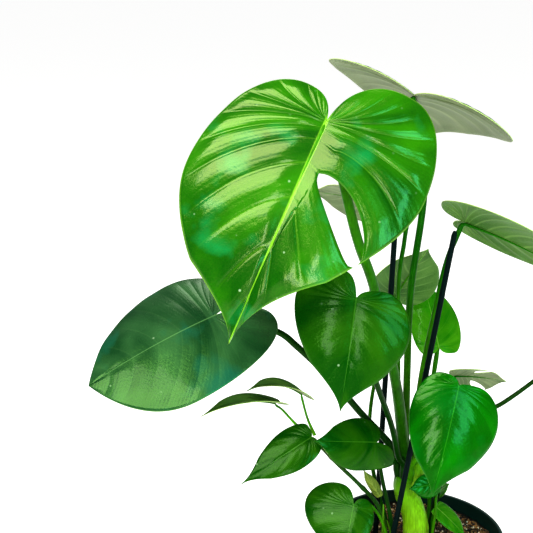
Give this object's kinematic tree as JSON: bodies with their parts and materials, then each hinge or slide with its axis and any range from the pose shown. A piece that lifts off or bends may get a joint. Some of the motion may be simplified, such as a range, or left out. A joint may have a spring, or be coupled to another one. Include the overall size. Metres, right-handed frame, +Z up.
{
  "type": "potted monstera plant",
  "caption": "Young split-leaf climbing plant with heart-shaped glossy leaves on arching stalks, propped by thin stakes in a dark round nursery pot.",
  "frame": {"origin": "centre of the pot's flat underside, on the surface it stands on", "axes": "+Z up along the pot's axis, -Y towards the front of the plant, where the largest leaf faces, +X to the right"},
  "size_m": [0.4492, 0.3406, 0.5678],
  "materials": {
    "leaf_glossy": "waxy gloss with pale lateral veins",
    "leaf_dark": "dark green, soft sheen",
    "leaf_underside": "matte grey-green underside",
    "petiole": "smooth light green stalk",
    "stem": "smooth yellow-green stem",
    "sheath": "olive, papery",
    "stake_plastic": "very dark green-black, slight gloss",
    "pot_plastic": "thin moulded nursery pot, satin dark green-black",
    "potting_soil": "damp peat and bark mix with pale perlite grains"
  },
  "bodies": {
    "root": {"front_split_leaf_blade": "leaf_glossy", "front_split_leaf_petiole": "petiole", "rear_arching_leaf_blade": "leaf_underside", "rear_arching_leaf_petiole": "petiole", "left_hanging_leaf_blade": "leaf_dark", "left_hanging_leaf_petiole": "petiole", "middle_heart_leaf_blade": "leaf_glossy", "middle_heart_leaf_petiole": "petiole", "right_heart_leaf_blade": "leaf_glossy", "right_heart_leaf_petiole": "petiole", "right_high_leaf_blade": "leaf_underside", "right_high_leaf_petiole": "petiole", "upper_back_leaf_blade": "leaf_underside", "upper_back_leaf_petiole": "petiole", "upright_back_leaf_blade": "leaf_underside", "upright_back_leaf_petiole": "petiole", "right_back_leaf_blade": "leaf_glossy", "right_back_leaf_petiole": "petiole", "small_split_leaf_blade": "leaf_underside", "small_split_leaf_petiole": "petiole", "far_right_leaf_blade": "leaf_glossy", "far_right_leaf_petiole": "petiole", "low_left_leaf_blade": "leaf_glossy", "low_left_leaf_petiole": "petiole", "rim_heart_leaf_blade": "leaf_glossy", "rim_heart_leaf_petiole": "petiole", "seedling_front_leaf_blade": "leaf_glossy", "seedling_front_leaf_petiole": "petiole", "seedling_crown_leaf_blade": "leaf_dark", "seedling_crown_leaf_petiole": "petiole", "seedling_back_leaf_blade": "leaf_underside", "seedling_back_leaf_petiole": "petiole", "vine_dark_leaf_blade": "leaf_dark", "vine_dark_leaf_petiole": "petiole", "vine_arched_leaf_blade": "leaf_underside", "vine_arched_leaf_petiole": "petiole", "vine_tip_leaf_blade": "leaf_underside", "vine_tip_leaf_petiole": "petiole", "pot": "pot_plastic", "soil": "potting_soil", "stake_left": "stake_plastic", "stake_right": "stake_plastic", "main_stem": "stem", "vine_stem": "stem", "young_spear": "petiole", "sprout": "petiole", "olive_sheath": "sheath"}
  },
  "joints": []
}
